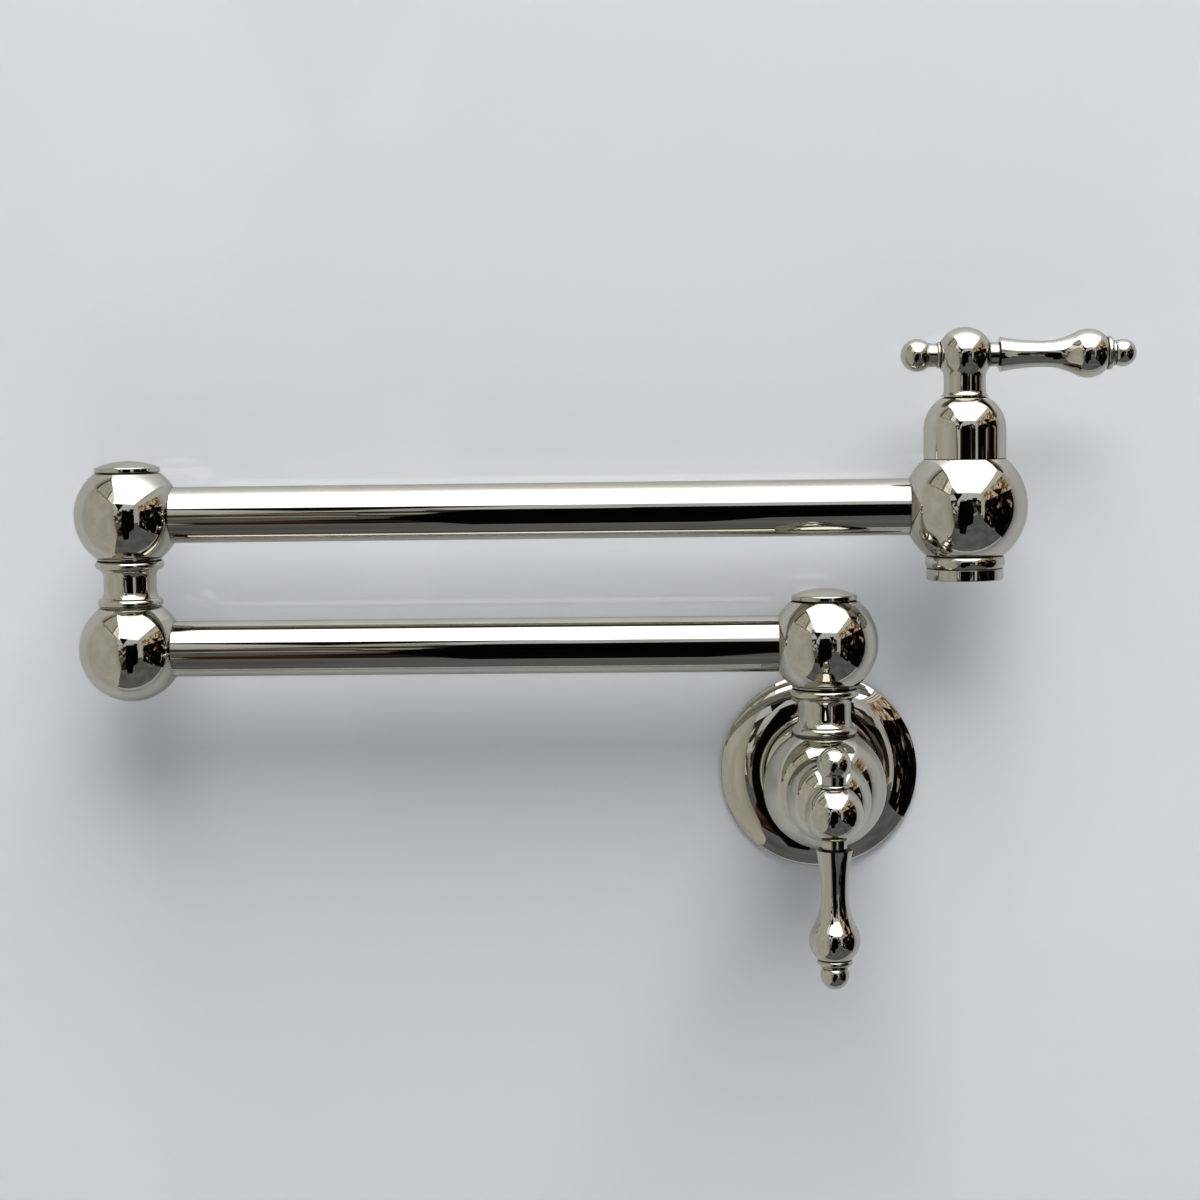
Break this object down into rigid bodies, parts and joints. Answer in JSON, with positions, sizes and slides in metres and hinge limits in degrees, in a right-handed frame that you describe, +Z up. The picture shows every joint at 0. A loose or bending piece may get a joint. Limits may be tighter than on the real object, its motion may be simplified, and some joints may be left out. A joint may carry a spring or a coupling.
{
  "type": "pot filler",
  "caption": "Wall-mounted folding pot filler in polished nickel, with ball joints, ball-shaped valves, turned levers and an aerated outlet.",
  "frame": {"origin": "centre of the inlet's mouth, on the wall's face", "axes": "+X right along the wall, +Y into the wall along the inlet, +Z up; the arms are folded along X"},
  "size_m": [0.3567, 0.0995, 0.2108],
  "materials": {
    "polished_nickel": "warm mirror-polished nickel plate on brass",
    "brass": "plain turned brass",
    "stainless_steel": "plain stainless steel",
    "rubber": "black rubber",
    "ceramic": "lapped white ceramic",
    "nylon": "pale plastic"
  },
  "bodies": {
    "wall_body": {"wall_gasket": "rubber", "mounting_flange": "stainless_steel", "flange_grub_screws": "stainless_steel", "escutcheon": "polished_nickel", "escutcheon_o_ring": "rubber", "wall_valve_body": "polished_nickel", "wall_seat_seal": "rubber", "wall_fixed_disc": "ceramic", "wall_cartridge": "brass", "wall_cartridge_o_ring": "rubber", "wall_bonnet": "polished_nickel", "shoulder_neck": "polished_nickel", "shoulder_o_rings": "rubber", "shoulder_washer": "nylon", "shoulder_retainer": "stainless_steel", "shoulder_screw": "stainless_steel"},
    "wall_handle": {"wall_moving_disc": "ceramic", "wall_stem": "brass", "wall_stem_o_ring": "rubber", "wall_hub": "polished_nickel", "wall_lever": "polished_nickel", "wall_finial": "polished_nickel", "wall_hub_grub_screw": "stainless_steel"},
    "lower_arm": {"shoulder_ball": "polished_nickel", "shoulder_cap": "polished_nickel", "lower_tube": "polished_nickel", "elbow_lower_ball": "polished_nickel", "elbow_neck": "polished_nickel", "elbow_o_rings": "rubber", "elbow_washer": "nylon", "elbow_retainer": "stainless_steel", "elbow_screw": "stainless_steel"},
    "upper_arm": {"elbow_upper_ball": "polished_nickel", "elbow_cap": "polished_nickel", "upper_tube": "polished_nickel", "end_valve_body": "polished_nickel", "end_seat_seal": "rubber", "end_fixed_disc": "ceramic", "end_cartridge": "brass", "end_cartridge_o_ring": "rubber", "end_bonnet": "polished_nickel", "outlet_ring": "polished_nickel", "aerator_housing": "polished_nickel", "aerator_washer": "rubber", "aerator_insert": "nylon"},
    "end_handle": {"end_moving_disc": "ceramic", "end_stem": "brass", "end_stem_o_ring": "rubber", "end_hub": "polished_nickel", "end_lever": "polished_nickel", "end_finial": "polished_nickel", "end_hub_grub_screw": "stainless_steel"}
  },
  "joints": [
    {"name": "wall_handle_turn", "type": "hinge", "parent": "wall_body", "child": "wall_handle", "pos_m": [0, -0.04, 0], "axis": [0, -1, 0], "range_deg": [0, 90]},
    {"name": "shoulder_swing", "type": "hinge", "parent": "wall_body", "child": "lower_arm", "pos_m": [0, -0.04, 0.04915], "axis": [0, 0, 1], "range_deg": [-5, 185]},
    {"name": "elbow_swing", "type": "hinge", "parent": "lower_arm", "child": "upper_arm", "pos_m": [-0.235, -0.04, 0.09468], "axis": [0, 0, -1], "continuous": true},
    {"name": "end_handle_turn", "type": "hinge", "parent": "upper_arm", "child": "end_handle", "pos_m": [0.047, -0.04, 0.09468], "axis": [0, 0, 1], "range_deg": [-90, 0]}
  ]
}
